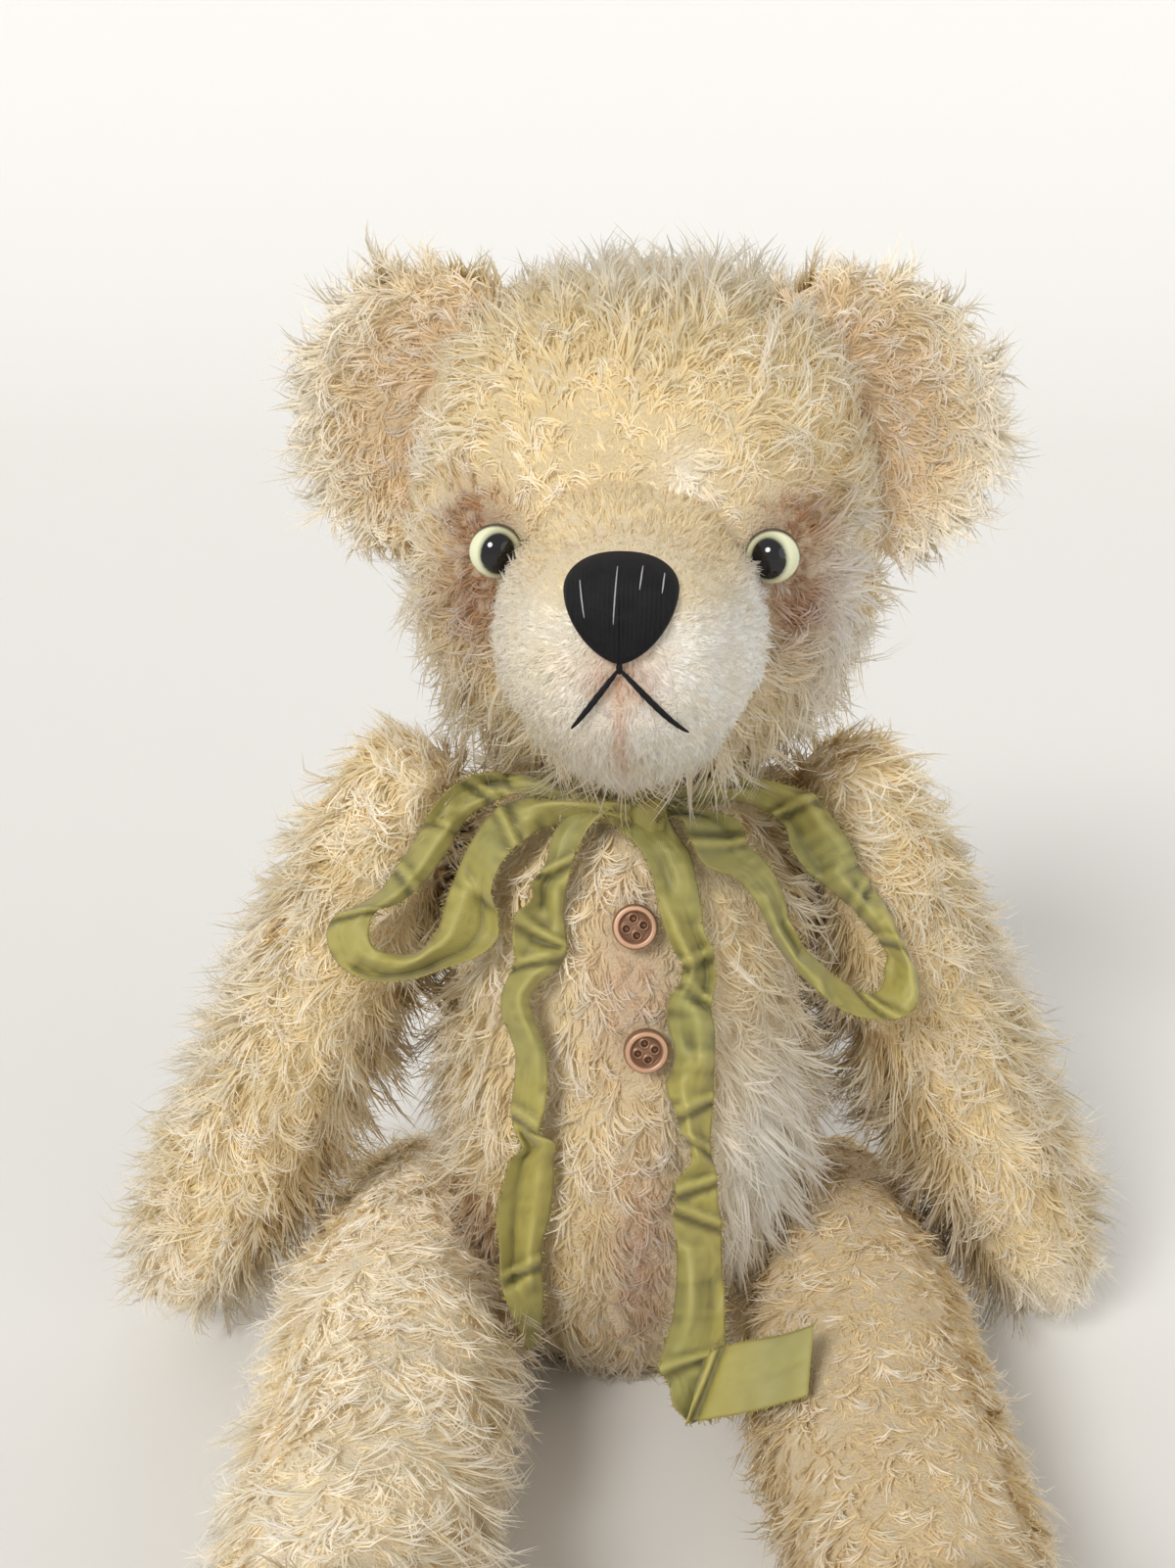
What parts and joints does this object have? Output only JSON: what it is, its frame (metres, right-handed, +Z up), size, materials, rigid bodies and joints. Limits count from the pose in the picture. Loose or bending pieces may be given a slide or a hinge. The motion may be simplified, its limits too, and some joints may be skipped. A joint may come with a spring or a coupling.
{
  "type": "teddy bear",
  "caption": "Old jointed mohair teddy bear sitting upright, worn and shaggy, with glass eyes, a stitched nose, a crinkled green ribbon bow and copper chest buttons.",
  "frame": {"origin": "on the floor, in the flat of the seat under the torso, on the torso's middle plane", "axes": "+Z up, the bear faces -Y, and its left side is +X"},
  "size_m": [0.2581, 0.238, 0.2847],
  "materials": {
    "mohair": "curled cream mohair pile, worn thin in places",
    "suede": "worn felted cloth",
    "eye_glass": "polished glass, pale green with a black pupil",
    "black_floss": "satin stitched thread",
    "ribbon": "crinkled woven ribbon with a slight sheen",
    "copper": "aged copper, rubbed bright on its rims",
    "hardboard": "plain hardboard",
    "steel": "bare steel"
  },
  "bodies": {
    "torso": {"torso": "mohair", "neck_ribbon": "ribbon", "upper_button": "copper", "lower_button": "copper", "neck_torso_disc": "hardboard", "left_shoulder_torso_disc": "hardboard", "right_shoulder_torso_disc": "hardboard", "left_hip_torso_disc": "hardboard", "right_hip_torso_disc": "hardboard", "neck_torso_washer": "steel", "left_shoulder_torso_washer": "steel", "right_shoulder_torso_washer": "steel", "left_hip_torso_washer": "steel", "right_hip_torso_washer": "steel", "neck_pin": "steel", "left_shoulder_pin": "steel", "right_shoulder_pin": "steel", "left_hip_pin": "steel", "right_hip_pin": "steel"},
    "head": {"head": "mohair", "left_ear": "mohair", "right_ear": "mohair", "left_eye": "eye_glass", "right_eye": "eye_glass", "nose": "black_floss", "mouth": "black_floss", "neck_limb_disc": "hardboard", "neck_limb_washer": "steel"},
    "left_arm": {"left_arm": "mohair", "left_shoulder_limb_disc": "hardboard", "left_shoulder_limb_washer": "steel"},
    "right_arm": {"right_arm": "mohair", "right_shoulder_limb_disc": "hardboard", "right_shoulder_limb_washer": "steel"},
    "left_leg": {"left_leg": "mohair", "left_foot_pad": "suede", "left_hip_limb_disc": "hardboard", "left_hip_limb_washer": "steel"},
    "right_leg": {"right_leg": "mohair", "right_foot_pad": "suede", "right_hip_limb_disc": "hardboard", "right_hip_limb_washer": "steel"}
  },
  "joints": [
    {"name": "neck_turn", "type": "hinge", "parent": "torso", "child": "head", "pos_m": [0.003, 0, 0.168], "axis": [0, 0, 1], "continuous": true},
    {"name": "left_shoulder_turn", "type": "hinge", "parent": "torso", "child": "left_arm", "pos_m": [0.043, 0, 0.14], "axis": [-0.9336, 0, -0.3584], "range_deg": [-60, 110], "deforming": ["neck_ribbon"]},
    {"name": "right_shoulder_turn", "type": "hinge", "parent": "torso", "child": "right_arm", "pos_m": [-0.043, 0, 0.14], "axis": [-0.9205, 0, 0.3907], "range_deg": [-60, 110], "deforming": ["neck_ribbon"]},
    {"name": "left_hip_turn", "type": "hinge", "parent": "torso", "child": "left_leg", "pos_m": [0.031, 0.003, 0.0255], "axis": [1, 0, 0], "range_deg": [0, 100], "deforming": ["neck_ribbon"]},
    {"name": "right_hip_turn", "type": "hinge", "parent": "torso", "child": "right_leg", "pos_m": [-0.031, 0.003, 0.0255], "axis": [1, 0, 0], "range_deg": [0, 100], "deforming": ["neck_ribbon"]}
  ]
}
